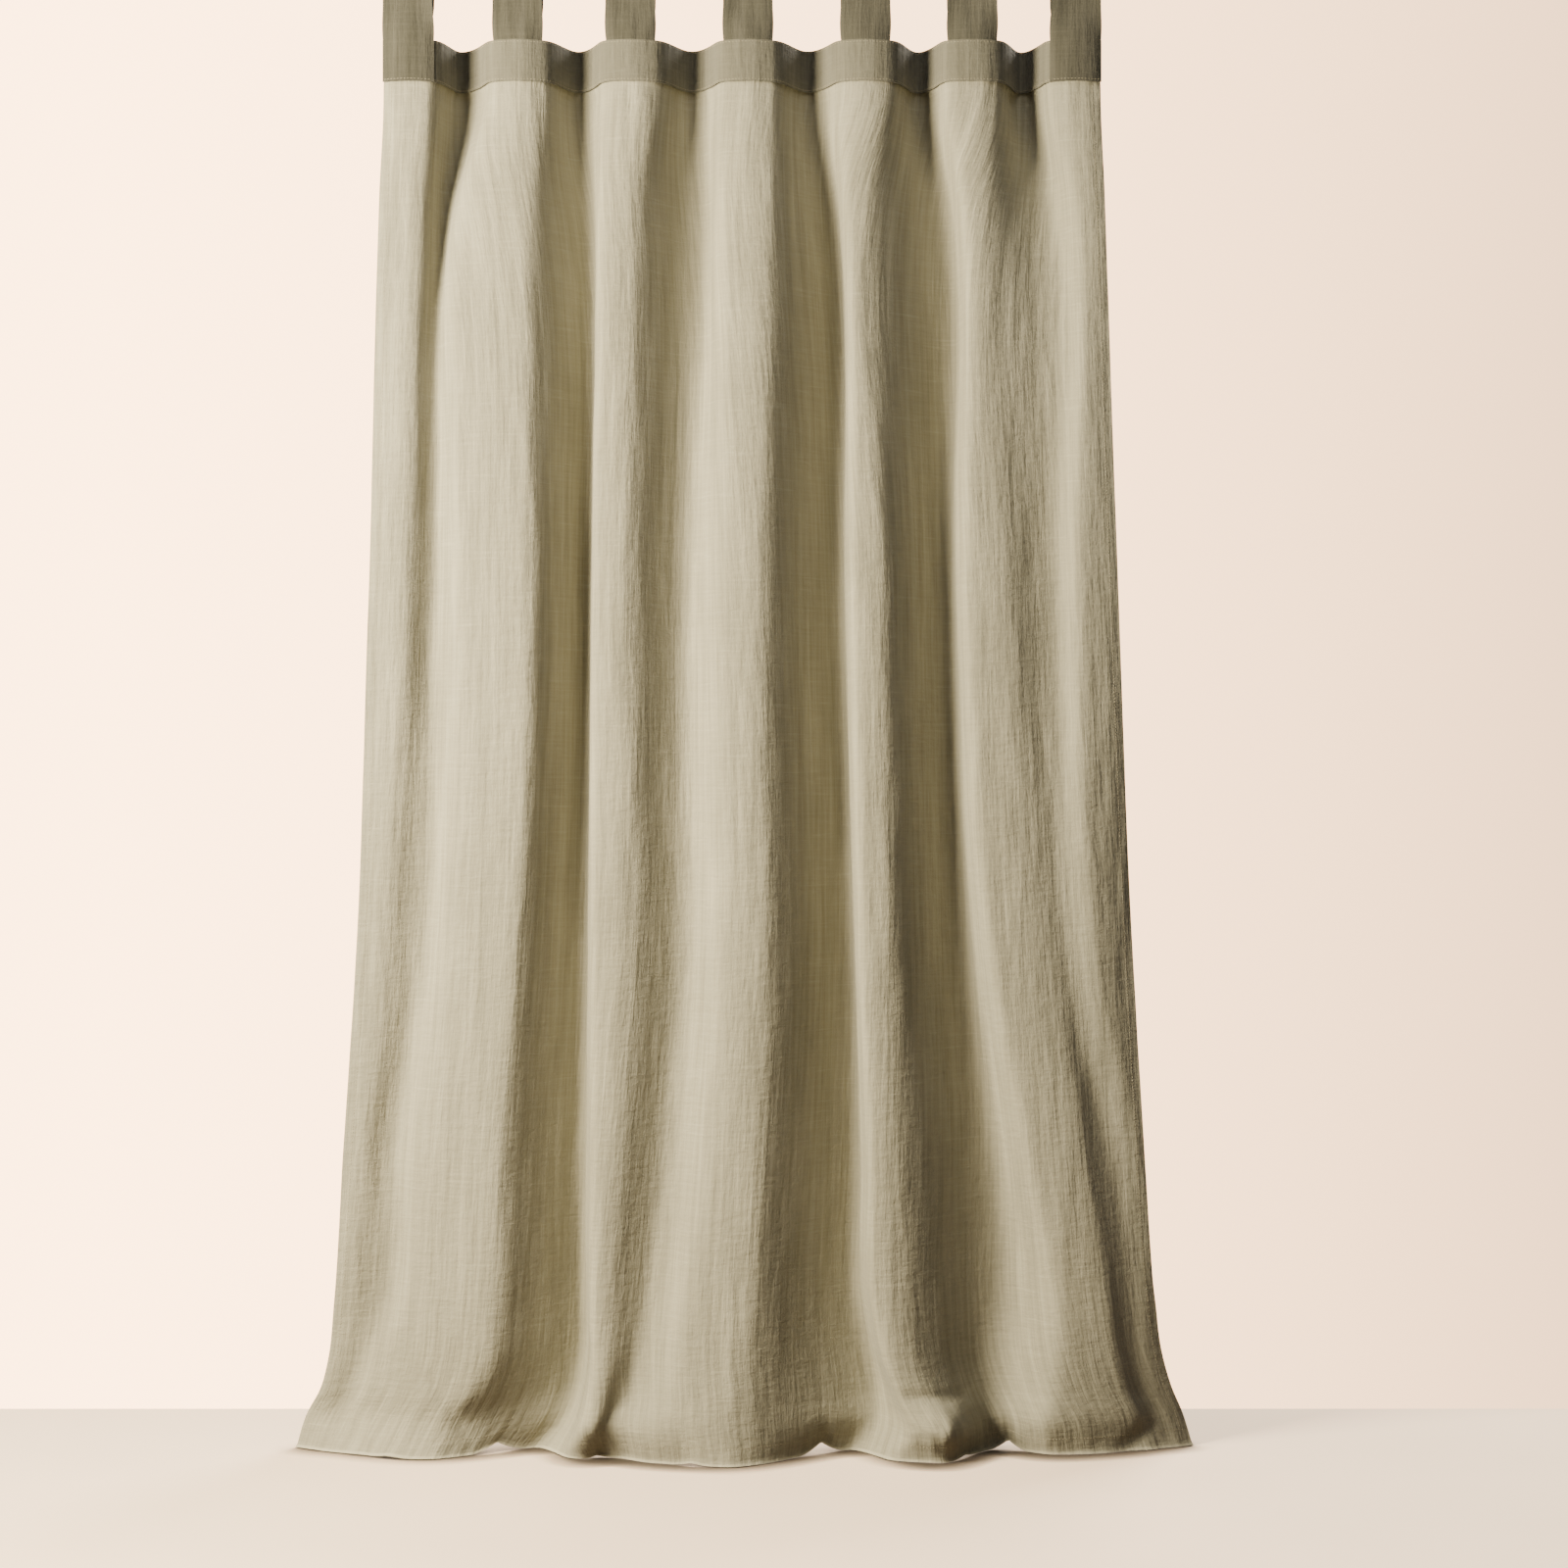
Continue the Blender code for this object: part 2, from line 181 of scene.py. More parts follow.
# Unevenness of the cloth: heights and the sizes of the noise's cells across and down, and how far
# the noise slants
CRINKLE_FADE, HEADING_CRINKLE = 0.05, 0.25
CRINKLE_CELL = (0.031, 0.170)
FINE_CRINKLE, FINE_CELL = 0.55, (0.015, 0.062)
GATHER_FADE, GATHER_START = 0.065, 0.010
GATHER_CELL, GATHER_SLANT = (0.013, 0.24), 3
RUMPLE, RUMPLE_OVER = 0.0016, 0.40
RUMPLE_CELL, RUMPLE_SLANT = (0.060, 0.075), (0.09, 0.21)
# Step back of the panel under the heading's seam, between the tabs
RECESS, RECESS_START, RECESS_FADE, RECESS_EASE = 0.0030, 0.012, 0.12, 0.03
# Where the cloth bunches on the floor: place along the rod and height, half sizes, depth and rumples
BUNCH_AT, BUNCH_SIZE, BUNCH_DEPTH = (0.300, 0.050), (0.045, 0.036), 0.028
BUNCH_RUMPLE, BUNCH_CELL, BUNCH_SLANT = 0.0050, (0.016, 0.024), (0.03, 0.06)
# Where the hem arches up off the floor: place along the rod, half width and height
ARCHES = (
    (-0.533, 0.035, 0.0035), (-0.373, 0.042, 0.0150), (-0.222, 0.030, 0.0035), (-0.073, 0.030, 0.0040),
    (0.118, 0.036, 0.0170), (0.333, 0.022, 0.0040), (0.405, 0.030, 0.0150),
)
ARCH_POINT, ARCH_REACH = 1.7, 0.10
HEM_ROLL = 0.0024
# Sharp creases in the low folds: two ends, as place along the rod and height, then depth and half width
DENTS = (
    ((-0.246, 0.100), (-0.224, 0.030), 0.0036, 0.0060), ((-0.190, 0.085), (-0.220, 0.030), 0.0036, 0.0060),
    ((0.250, 0.098), (0.330, 0.090), 0.0070, 0.0090), ((-0.470, 0.120), (-0.415, 0.030), 0.0035, 0.0080),
)
DENT_TIP = 0.08

# Tabs: the height over which they come free of the heading, and their creases
TAB_HELD, TAB_LOOSE = 0.055, 0.02
TAB_CREASE, TAB_CREASE_CELL, TAB_CREASE_SLANT, TAB_SEED = 0.0013, (0.013, 0.05), 4, 30
# Flat places of the tabs' cloth, past the panel's, so that no two pieces show the same threads
TAB_CLOTH_AT = 3.0

# Sewing: rows from the edges they hold, how much of a stitch's radius stands proud, how far the
# stitch's ends dip, and the shape it is drawn out from
STITCH_INSET, SIDE_STITCH_INSET, TAB_STITCH_INSET = 0.003, 0.0015, 0.001
STITCH_PROUD, STITCH_DIP = 0.6, 1.1
STITCH_SIDES = 6

# Linen: cells per metre across and down, detail and seed of each kind of unevenness
WEAVE = {
    "warp": (330.0, 7.0, 3.0, 0.0),
    "weft": (9.0, 300.0, 3.0, 7.3),
    "fine": (800.0, 800.0, 2.0, 2.1),
    "cloud": (9.0, 4.0, 4.0, 4.7),
    "thick": (190.0, 3.4, 1.0, 9.2),
    "nub": (14.0, 210.0, 1.0, 5.9),
    "streak": (120.0, 4.5, 3.0, 3.3),
    "broad": (42.0, 2.4, 3.0, 6.1),
    "crinkle": (52.0, 8.0, 4.0, 1.7),
    "cross": (34.0, 95.0, 4.0, 8.8),
}
# Thick threads and nubs show only where their noise is strong, between two levels
SLUBS = {"thick": (0.58, 0.76), "nub": (0.63, 0.80)}
# Share of each in the tone, about its middle, and in the height in metres
TONE = {
    "warp": 0.60, "weft": 0.38, "fine": 0.40, "cloud": 0.55,
    "thick": 0.18, "nub": 0.20, "streak": 0.85, "broad": 0.85,
}
TONE_TOP = 1.10
RELIEF = {
    "crinkle": 0.0030, "cross": 0.0016, "warp": 0.00026, "weft": 0.00012, "fine": 0.00010,
    "thick": 0.00012, "nub": 0.00008,
}
# The painted highlight on the hem's rolled rim: how pale, how strong, how uneven, and the heights where it
# starts and is full
RIM_HIGHLIGHT_PALE, RIM_STRENGTH, RIM_WAVER = 1.22, 0.75, 0.0015
RIM_START, RIM_FULL = HEM_LOW + 0.0042, HEM_LOW + 0.0026

# The room: name, place, aim, size, power and colour of each lamp
LAMPS = (
    ("window_light", (-2.15, -1.68, -0.35), (0.0, 0.0, -1.15), 1.15, 385.0, (1.0, 0.87, 0.63)),
    ("ceiling_light", (0.4, -1.6, 1.5), (0.1, 0.0, -0.2), 1.2, 17.0, (1.0, 0.95, 0.88)),
    ("back_light", (1.9, 2.6, 0.9), (0.0, 0.1, -0.9), 2.0, 270.0, (1.0, 0.92, 0.82)),
)
FLOOR_SIZE, WALL_FOOT = (9.0, 7.0), 0.37
FLOOR_GLOW, FLOOR_GLOW_TINT, FLOOR_BOUNCE = 0.8, (1.0, 0.72, 0.46), 0.16
# Painted contact shadow on the floor near the cloth: how far it reaches, how sharply it falls off, and its
# colour
CONTACT_SHADOW_REACH, CONTACT_SHADOW_DEPTH, CONTACT_SHADOW_TINT = 0.05, 4.5, (0.04, 0.03, 0.02)
FILL_STRENGTH, WALL_STRENGTH, WALL_TURN = 0.080, 9.5, (-0.22, 0.28)
EYE_AT, EYE_LENS, EYE_SENSOR = (0.063, -4.5, -1.187), 68.9, 36.0


# ---------------------------------------------------------------- settings

def length(name, text, default, low=0.0):
    return FloatProperty(name=name, description=text, default=default, min=low, unit="LENGTH", precision=4)


def colour(name, text, default):
    return FloatVectorProperty(
        name=name, description=text, default=default, size=3, min=0.0, max=1.0, subtype="COLOR"
    )


class CURTAIN_PG_sizes(bpy.types.PropertyGroup):
    """Sizes of the cloth and its sewing"""

    flat_width: length("Flat Width", "Width the panel was cut to, before it was gathered", 1.600)
    panel_cloth: length("Panel Cloth", "Thickness of the panel's linen", 0.0008)
    band_cloth: length("Band Cloth", "Thickness of the doubled heading band", 0.0012)
    interlining: length("Interlining", "Thickness of the heading's stiffening layer", 0.0006)
    facing_cloth: length("Facing Cloth", "Thickness of the heading's back facing", 0.0008)
    hem_cloth: length("Hem Cloth", "Thickness of the turned hems", 0.0012)
    tab_cloth: length("Tab Cloth", "Thickness of the sewn tabs", 0.0016)
    crinkle: length("Crinkle", "Height of the creases along the folds", 0.0009)
    pucker: length("Pucker", "Height of the small gathers under the heading", 0.0034)
    stitch: length("Stitch Length", "Length of one stitch", 0.0036)
    stitch_gap: length("Stitch Gap", "Gap between two stitches", 0.0012)
    thread: length("Thread", "Radius of the sewing thread", 0.0003)


class CURTAIN_PG_finishes(bpy.types.PropertyGroup):
    """Colours of the cloth, the thread and the room"""

    linen: colour("Linen", "Light threads of the panel", (0.385, 0.366, 0.277))
    linen_dark: colour("Linen Slub", "Dark threads of the panel", (0.218, 0.208, 0.155))
    # The band's linen is the panel's linen painted darker: painted shade
    heading: colour("Heading", "Light threads of the band", (0.174, 0.168, 0.129))
    heading_dark: colour("Heading Slub", "Dark threads of the band", (0.103, 0.098, 0.073))
    backing: colour("Backing", "The heading's stiffening layer", (0.560, 0.520, 0.410))
    thread: colour("Thread", "The sewing thread", (0.440, 0.395, 0.280))
    floor: colour("Floor", "The pale floor", (0.900, 0.720, 0.550))
    # The tabs' linen is the panel's linen painted darker still: painted shade
    tab: colour("Tab", "Light threads of the tabs", (0.094, 0.090, 0.070))
    tab_dark: colour("Tab Slub", "Dark threads of the tabs", (0.045, 0.044, 0.032))
    fill: colour("Fill", "Light that comes back from the room's walls", (0.710, 0.810, 1.000))
    wall_left: colour("Wall Left", "Background on the side of the light", (1.000, 0.600, 0.320))
    wall_right: colour("Wall Right", "Background away from the light", (0.290, 0.185, 0.110))


# ---------------------------------------------------------------- the folds

def run(points):
    """Length along a line, up to each of its points."""
    return np.concatenate([[0.0], np.cumsum(np.linalg.norm(np.diff(points, axis=0), axis=1))])


def resampled(points, places):
    """Points at the given shares of a line's length."""
    along = run(points)
    return np.stack([np.interp(places * along[-1], along, points[:, axis]) for axis in (0, 1)], axis=1)


def smoothed(points, reach):
    """An evenly stepped line with its corners rounded over the given number of points."""
    half = int(3 * reach) + 1
    kernel = np.exp(-0.5 * (np.arange(-half, half + 1) / reach) ** 2)
    kernel /= kernel.sum()
    padded = np.pad(points, ((half, half), (0, 0)), mode="reflect", reflect_type="odd")
    return np.stack([np.convolve(padded[:, axis], kernel, mode="valid") for axis in (0, 1)], axis=1)


def soft(t):
    """A share from 0 to 1, eased at both ends."""
    return t * t * (3 - 2 * t)


def noise(u, v, seed):
    """Smooth noise from -1 to 1, with one random value for each whole step of u and of v."""
    u, v = np.broadcast_arrays(u, v)
    u, v = u - u.min(), v - v.min()
    cells = np.random.default_rng(seed).uniform(-1, 1, (int(u.max()) + 2, int(v.max()) + 2))
    i, j = u.astype(int), v.astype(int)
    s, t = soft(u - i), soft(v - j)
    low = cells[i, j] * (1 - s) + cells[i + 1, j] * s
    high = cells[i, j + 1] * (1 - s) + cells[i + 1, j + 1] * s
    return low * (1 - t) + high * t


def eased(heights, values, z):
    """A smooth value between levels, by a cubic through each pair."""
    slopes = np.gradient(values, heights, axis=0)
    slopes[-1] = 0
    i = int(np.clip(np.searchsorted(heights, z) - 1, 0, len(heights) - 2))
    span = heights[i + 1] - heights[i]
    t = min(max((z - heights[i]) / span, 0.0), 1.0)
    return (
        (2 * t**3 - 3 * t**2 + 1) * values[i]
        + (t**3 - 2 * t**2 + t) * span * slopes[i]
        + (3 * t**2 - 2 * t**3) * values[i + 1]
        + (t**3 - t**2) * span * slopes[i + 1]
    )


def solved(measure, target, low, high):
    """The value at which a growing measure reaches its target, from below."""
    for _ in range(SOLVER_STEPS):
        middle = (low + high) / 2
        if measure(middle) < target:
            low = middle
        else:
            high = middle
    return low


def curve(start, end, out, into, leave=0.0, reach=0.0):
    """A bend out of one point at one slope and into the next at another, for many pairs at once."""
    t = np.linspace(0, 1, FLANK_STEPS, endpoint=False)[None, :, None]
    across = (end - start)[:, 0]
    first = start + np.stack([across * out, across * out * leave], axis=1)
    second = end - np.stack([across * into, across * into * reach], axis=1)
    a, b, c, d = (p[:, None, :] for p in (start, first, second, end))
    return (1 - t) ** 3 * a + 3 * t * (1 - t) ** 2 * b + 3 * t * t * (1 - t) * c + t**3 * d


def fold_line(controls, handles, bulge):
    """The cloth's line through its crests and valleys, in even steps."""
    lefts, rights, valleys = controls[0::3], controls[1::3], controls[2::3]
    t = np.linspace(0, 1, FLANK_STEPS, endpoint=False)[None, :, None]
    crests = lefts[:, None] * (1 - t) + rights[:, None] * t
    crests[:, :, 1] -= (bulge * (rights - lefts)[:, 0])[:, None] * 4 * (t * (1 - t))[:, :, 0]
    falling = curve(rights[:-1], valleys, handles[:, 0], handles[:, 1], leave=4 * bulge)
    rising = curve(valleys, lefts[1:], handles[:, 2], handles[:, 3], reach=-4 * bulge)
    parts = [crests[0]]
    for k in range(TABS - 1):
        parts += [falling[k], rising[k], crests[k + 1]]
    line = np.vstack(parts + [rights[-1:]])
    return resampled(line, np.linspace(0, 1, LINE_POINTS))


def tab_pitch(flat_width):
    """From one tab to the next along the flat cloth."""
    return (flat_width - TAB_WIDTH) / (TABS - 1)


def heading_controls(flat_width):
    """The crest at each tab and the valleys between, deep enough to take up each gap's cloth."""
    half = TAB_WIDTH / 2 + CREST_MARGIN
    crest = 2 * half * (1 + 8 / 3 * HEADING_ROUND**2)  # along its shallow arc
    gap = tab_pitch(flat_width) - crest
    out, into, off, onto = HEADING_FLANKS[:, None]
    controls = []
    for k, x in enumerate(TAB_CENTRES):
        left = x - (TAB_WIDTH / 2 if k == 0 else half)
        right = x + (TAB_WIDTH / 2 if k == TABS - 1 else half)
        controls += [(left, 0.0), (right, 0.0)]
        if k == TABS - 1:
            break
        end = TAB_CENTRES[k + 1] - half
        bottom = right + (end - right) * HEADING_VALLEYS[k]

        def cloth_taken(depth):
            down = curve(np.array([[right, 0.0]]), np.array([[bottom, depth]]), out, into)
            up = curve(np.array([[bottom, depth]]), np.array([[end, 0.0]]), off, onto)
            return run(np.vstack([down[0], up[0], [(end, 0.0)]]))[-1]

        controls.append((bottom, solved(cloth_taken, gap, 0.0, gap)))
    return np.array(controls)


def section(z, places, levels, flat_width):
    """The cloth's line at height z, at the given shares of the flat width."""
    heights, values = levels
    controls = eased(heights, values, min(z, HEADING_BASE))
    free = soft(np.clip((HEADING_BASE - z) / HEADING_FADE, 0, 1))
    aside = np.repeat(noise(np.zeros(TABS), np.arange(TABS) * 1.0, 5), 3)[: len(controls)]
    controls[:, 0] += SWAY * free * np.clip((z - HEM_LOW) / SWAY_FOOT, 0, 1) * aside
    between = (controls[1:-1:3, 1] + controls[3::3, 1]) / 2
    relief = controls[2::3, 1] - between
    handles = np.array(FLANKS) * free + HEADING_FLANKS * (1 - free)
    bulge = CREST_ROUND * free + HEADING_ROUND * (1 - free)

    def folded(scale):
        line = controls.copy()
        line[2::3, 1] = between + relief * scale
        return smoothed(fold_line(line, handles, bulge), HEADING_REACH + FREE_REACH * free)

    scale = solved(lambda tried: run(folded(tried))[-1], flat_width, 0.0, DEEPEST_RELIEF)
    return resampled(folded(scale), places)


class Cloth:
    """The middle surface of the panel as rows of points, with the way to the wall at each."""

    def __init__(self, sizes):
        self.width = sizes.flat_width
        self.u = np.linspace(0, self.width, COLUMNS)
        tops = [start for start, _ in ROW_STEPS] + [HEM_LOW]
        steps = [step for _, step in ROW_STEPS]
        spans = [
            np.linspace(a, b, round((a - b) / step), endpoint=False)
            for a, b, step in zip(tops, tops[1:], steps)
        ]
        self.z = np.concatenate(spans + [[HEM_LOW]])
        table = [np.stack([xs, ys], axis=1) / 1000 for _, xs, ys in FOLDS]
        heights = np.array([HEM_LOW + height for height, _, _ in FOLDS] + [HEADING_BASE])
        levels = heights, np.array(table + [heading_controls(self.width)])
        shares = self.u / self.width
        self.points = np.array([
            [(x, y, z) for x, y in section(z, shares, levels, self.width)] for z in self.z
        ])
        self.crease(sizes)
        self.settle_hem()
        self.to_wall = self.normals()

    def normals(self):
        across = np.gradient(self.points, axis=1)
        down = np.gradient(self.points, axis=0)
        normal = np.cross(across, down)
        return normal / np.linalg.norm(normal, axis=2, keepdims=True)

    def crease(self, sizes):
        """Crinkles along the folds, gathers under the heading and the step below its seam."""
        u, z = np.meshgrid(self.u, self.z)
        below = np.clip(HEADING_BASE - z, 0, None)
        free = np.clip(below / CRINKLE_FADE, 0, 1)
        crinkle = sizes.crinkle * (HEADING_CRINKLE + (1 - HEADING_CRINKLE) * free)
        height = crinkle * noise(u / CRINKLE_CELL[0], z / CRINKLE_CELL[1], 11)
        height += FINE_CRINKLE * sizes.crinkle * free * noise(u / FINE_CELL[0], z / FINE_CELL[1], 12)
        gathers = np.exp(-below / GATHER_FADE) * np.clip(below / GATHER_START, 0, 1)
        height += sizes.pucker * gathers * noise(
            u / GATHER_CELL[0] + GATHER_SLANT * z, z / GATHER_CELL[1], 13
        )
        low = np.clip(1 - (z - HEM_LOW) / RUMPLE_OVER, 0, 1)
        height += RUMPLE * low * noise(
            u / RUMPLE_CELL[0] + z / RUMPLE_SLANT[0], z / RUMPLE_CELL[1] - u / RUMPLE_SLANT[1], 14
        )
        in_gap = np.ones_like(self.u)
        pitch = tab_pitch(self.width)
        for k in range(TABS):
            beside = np.abs(self.u - TAB_WIDTH / 2 - k * pitch) - TAB_WIDTH / 2
            in_gap = np.minimum(in_gap, np.clip(beside / RECESS_EASE, 0, 1))
        height += RECESS * (np.clip(below / RECESS_START, 0, 1) * np.exp(-below / RECESS_FADE)) * in_gap
        self.points += height[:, :, None] * self.normals()

    def settle_hem(self):
        """The low folds pushed out where the cloth bunches, and the hem's arches over the floor."""
        over = self.points[:, :, 2] - HEM_LOW
        x = self.points[:, :, 0]
        bunch = np.exp(
            -(((x - BUNCH_AT[0]) / BUNCH_SIZE[0]) ** 2) - ((over - BUNCH_AT[1]) / BUNCH_SIZE[1]) ** 2
        )
        self.points[:, :, 1] -= BUNCH_DEPTH * bunch
        self.points[:, :, 1] -= BUNCH_RUMPLE * bunch * noise(
            x / BUNCH_CELL[0] + over / BUNCH_SLANT[0], over / BUNCH_CELL[1] - x / BUNCH_SLANT[1], 21
        )
        for start, end, depth, width in DENTS:
            way = np.subtract(end, start)
            spot = np.stack([x, over], axis=2) - start
            t = np.clip((spot @ way) / (way @ way), 0, 1)
            away = np.linalg.norm(spot - t[..., None] * way, axis=2)
            taper = np.sin(np.pi * (DENT_TIP + (1 - 2 * DENT_TIP) * t)) ** 0.5
            self.points[:, :, 1] += depth * np.exp(-((away / width) ** 2)) * taper
        hem = self.points[-1, :, 0]
        lift = np.zeros(COLUMNS)
        for place, half, height in ARCHES:
            t = np.clip(np.abs(hem - place) / half, 0, 1)
            lift = np.maximum(lift, height * (1 - t) ** ARCH_POINT)
        near = np.clip(1 - over / ARCH_REACH, 0, 1)
        self.points[:, :, 2] += lift[None, :] * near**2
        self.points[-1] -= HEM_ROLL * self.normals()[-1] * (1, 1, 0)

    def place_of(self, x):
        """The flat place of the heading's edge at x, for an x on a tab's crest."""
        edge = self.points[0, :, 0]
        near = np.abs(edge - x) < TAB_WIDTH / 2
        return np.interp(x, edge[near], self.u[near])

    def at(self, u, z, offset):
        """Points over the cloth at flat places u and heights z, and the way to the wall there."""
        u, z = np.broadcast_arrays(np.asarray(u, float), np.asarray(z, float))
        column = u / self.width * (COLUMNS - 1)
        row = np.interp(-z, -self.z, np.arange(len(self.z)))
        i = np.clip(row.astype(int), 0, len(self.z) - 2)
        j = np.clip(column.astype(int), 0, COLUMNS - 2)
        s, t = (row - i)[..., None], (column - j)[..., None]
        found = []
        for field in (self.points, self.to_wall):
            top = field[i, j] * (1 - t) + field[i, j + 1] * t
            bottom = field[i + 1, j] * (1 - t) + field[i + 1, j + 1] * t
            found.append(top * (1 - s) + bottom * s)
        way = found[1] / np.linalg.norm(found[1], axis=-1, keepdims=True)
        return found[0] + offset * way, way


CLOTH = {}


def cloth():
    """The cloth's surface, worked out once for all the pieces that follow it."""
    if "made" not in CLOTH:
        CLOTH["made"] = Cloth(bpy.context.scene.curtain_sizes)
    return CLOTH["made"]


# ---------------------------------------------------------------- making pieces

def placed(name, data):
    """A new object in the scene, for a mesh, a lamp or the camera."""
    made = bpy.data.objects.new(name, data)
    bpy.context.scene.collection.objects.link(made)
    return made


def alone(piece):
    """Selects one piece and makes it the active one."""
    bpy.ops.object.select_all(action="DESELECT")
    piece.select_set(True)
    bpy.context.view_layer.objects.active = piece


def grid_piece(name, points, flat, thickness, finish):
    """A layer of cloth over a grid of points, with its flat places as UVs and its own thickness."""
    rows, columns = points.shape[:2]
    bm = bmesh.new()
    spot = bm.loops.layers.uv.new("cloth")
    verts = [bm.verts.new(point) for point in points.reshape(-1, 3)]
    places = flat.reshape(-1, 2)
    for i in range(rows - 1):
        for j in range(columns - 1):
            corners = (i * columns + j, (i + 1) * columns + j, (i + 1) * columns + j + 1, i * columns + j + 1)
            face = bm.faces.new([verts[c] for c in corners])
            for loop, c in zip(face.loops, corners):
                loop[spot].uv = places[c]
    mesh = bpy.data.meshes.new(name)
    bm.to_mesh(mesh)
    bm.free()
    mesh.materials.append(finish)
    piece = placed(name, mesh)
    alone(piece)
    wall = piece.modifiers.new("Thickness", "SOLIDIFY")
    wall.thickness = thickness
    wall.offset = 0.0
    bpy.ops.object.modifier_apply(modifier=wall.name)
    bpy.ops.object.shade_smooth_by_angle(angle=np.radians(SMOOTH_ANGLE))
    return piece


def on_cloth(piece, node):
    """Hangs a piece of the panel on the first tab's body."""
    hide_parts(node)
    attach(piece, ROOT)
    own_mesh(piece)


def layer(name, node, offset, thickness, finish, columns=None, rows=None):
    """A layer that follows the cloth at an offset, over all of it or over some of its width and height."""
    sheet = cloth()
    u = sheet.u if columns is None else np.linspace(*columns)
    z = sheet.z if rows is None else np.linspace(*rows)
    uu, zz = np.meshgrid(u, z)
    if columns is None and rows is None:
        points = sheet.points + offset * sheet.to_wall
    else:
        points, _ = sheet.at(uu, zz, offset)
    piece = grid_piece(name, points, np.stack([uu, zz], axis=2), thickness, finish)
    on_cloth(piece, node)
    return piece


def one_stitch(length_, radius):
    """A single stitch along X: a drawn-out bead whose ends dip into the cloth below it."""
    bpy.ops.object.select_all(action="DESELECT")
    bpy.ops.mesh.primitive_uv_sphere_add(segments=STITCH_SIDES, ring_count=STITCH_SIDES, radius=0.5)
    bead = bpy.context.active_object
    bpy.ops.object.mode_set(mode="EDIT")
    bpy.ops.mesh.select_all(action="SELECT")
    bpy.ops.transform.rotate(value=np.pi / 2, orient_axis="Y", center_override=(0, 0, 0))
    bpy.ops.transform.resize(value=(length_, 2 * radius, 2 * radius))
    bpy.ops.object.mode_set(mode="OBJECT")
    verts = np.array([v.co[:] for v in bead.data.vertices])
    verts[:, 2] -= STITCH_DIP * radius * (2 * verts[:, 0] / length_) ** 4
    faces = [tuple(p.vertices) for p in bead.data.polygons]
    bpy.data.objects.remove(bead, do_unlink=True)
    return verts, faces


def stitches(name, node, path, offset, finish):
    """A row of stitches along a path of flat places over the cloth, standing just proud of it."""
    sizes = bpy.context.scene.curtain_sizes
    base, faces = one_stitch(sizes.stitch, sizes.thread)
    path = np.array(path, float)
    along = run(path)
    pitch = sizes.stitch + sizes.stitch_gap
    count = int(along[-1] / pitch)
    middles = (np.arange(count) + 0.5) * along[-1] / count

    def over_cloth(places):
        return cloth().at(np.interp(places, along, path[:, 0]), np.interp(places, along, path[:, 1]), offset)

    before, after = (
        over_cloth(np.clip(middles + side * 0.5 * pitch, 0, along[-1]))[0] for side in (-1, 1)
    )
    at, way = over_cloth(middles)
    forward = after - before
    forward /= np.linalg.norm(forward, axis=1, keepdims=True)
    aside = np.cross(-way, forward)
    aside /= np.linalg.norm(aside, axis=1, keepdims=True)
    turn = np.stack([forward, aside, np.cross(forward, aside)], axis=1)
    points = (base @ turn) + at[:, None, :]
    step = len(base)
    polygons = [tuple(i + k * step for i in face) for k in range(count) for face in faces]
    mesh = bpy.data.meshes.new(name)
    mesh.from_pydata(points.reshape(-1, 3).tolist(), [], polygons)
    mesh.materials.append(finish)
    mesh.shade_smooth()
    on_cloth(placed(name, mesh), node)


# ---------------------------------------------------------------- finishes

class Value:
    """A shader socket that can be used in a sum."""

    def __init__(self, tree, socket):
        self.tree, self.socket = tree, socket

    def math(self, operation, other=None, swap=False):
        node = self.tree.nodes.new("ShaderNodeMath")
        node.operation = operation
        inputs = [self, other] if not swap else [other, self]
        for target, source in zip(node.inputs, inputs):
            if isinstance(source, Value):
                self.tree.links.new(source.socket, target)
            elif source is not None:
                target.default_value = source
        return Value(self.tree, node.outputs[0])

    def __add__(self, other):
        return self.math("ADD", other)

    def __radd__(self, other):
        return self.math("ADD", other)

    def __sub__(self, other):
        return self.math("SUBTRACT", other)

    def __rsub__(self, other):
        return self.math("SUBTRACT", other, swap=True)

    def __mul__(self, other):
        return self.math("MULTIPLY", other)

    def __rmul__(self, other):
        return self.math("MULTIPLY", other)

    def __pow__(self, other):
        return self.math("POWER", other)


class Nodes:
    """The nodes of a material or of the room, and the ways to add to them."""

    def __init__(self, tree):
        self.tree = tree

    def add(self, kind, settings=None, sockets=None, out=0):
        node = self.tree.nodes.new(kind)
        for key, value in (settings or {}).items():
            setattr(node, key, value)
        for key, value in (sockets or {}).items():
            self.feed(node.inputs[key], value)
        return Value(self.tree, node.outputs[out])

    def feed(self, target, value):
        if isinstance(value, Value):
            self.tree.links.new(value.socket, target)
        else:
            target.default_value = value

    def mix(self, factor, low, high):
        """One colour into another by a factor."""
        low, high = (c if isinstance(c, Value) else (*c, 1.0) for c in (low, high))
        return self.add("ShaderNodeMix", {"data_type": "RGBA"}, {0: factor, 6: low, 7: high}, out=2)

    def threads(self, place, scale, detail=2.0, seed=0.0):
        """Noise drawn out along one way of the weave, from 0 to 1."""
        moved = self.add(
            "ShaderNodeMapping", None,
            {"Vector": place, "Scale": (*scale, 1.0), "Location": (seed, seed, seed)},
        )
        return self.add(
            "ShaderNodeTexNoise", {"noise_dimensions": "2D"},
            {"Vector": moved, "Scale": 1.0, "Detail": detail, "Roughness": 0.6},
        )

    def band(self, value, low, high):
        """0 at one level, 1 at another and a straight slope between."""
        return self.add(
            "ShaderNodeMapRange", {"clamp": True}, {"Value": value, "From Min": low, "From Max": high}
        )

    def seen_and_felt(self, seen, felt, output):
        """One look for the eye and another for the light that the surface sends on."""
        eye = self.add("ShaderNodeLightPath")
        either = self.add("ShaderNodeMixShader", None, {0: eye, 1: felt, 2: seen})
        self.feed(self.tree.nodes[output].inputs["Surface"], either)


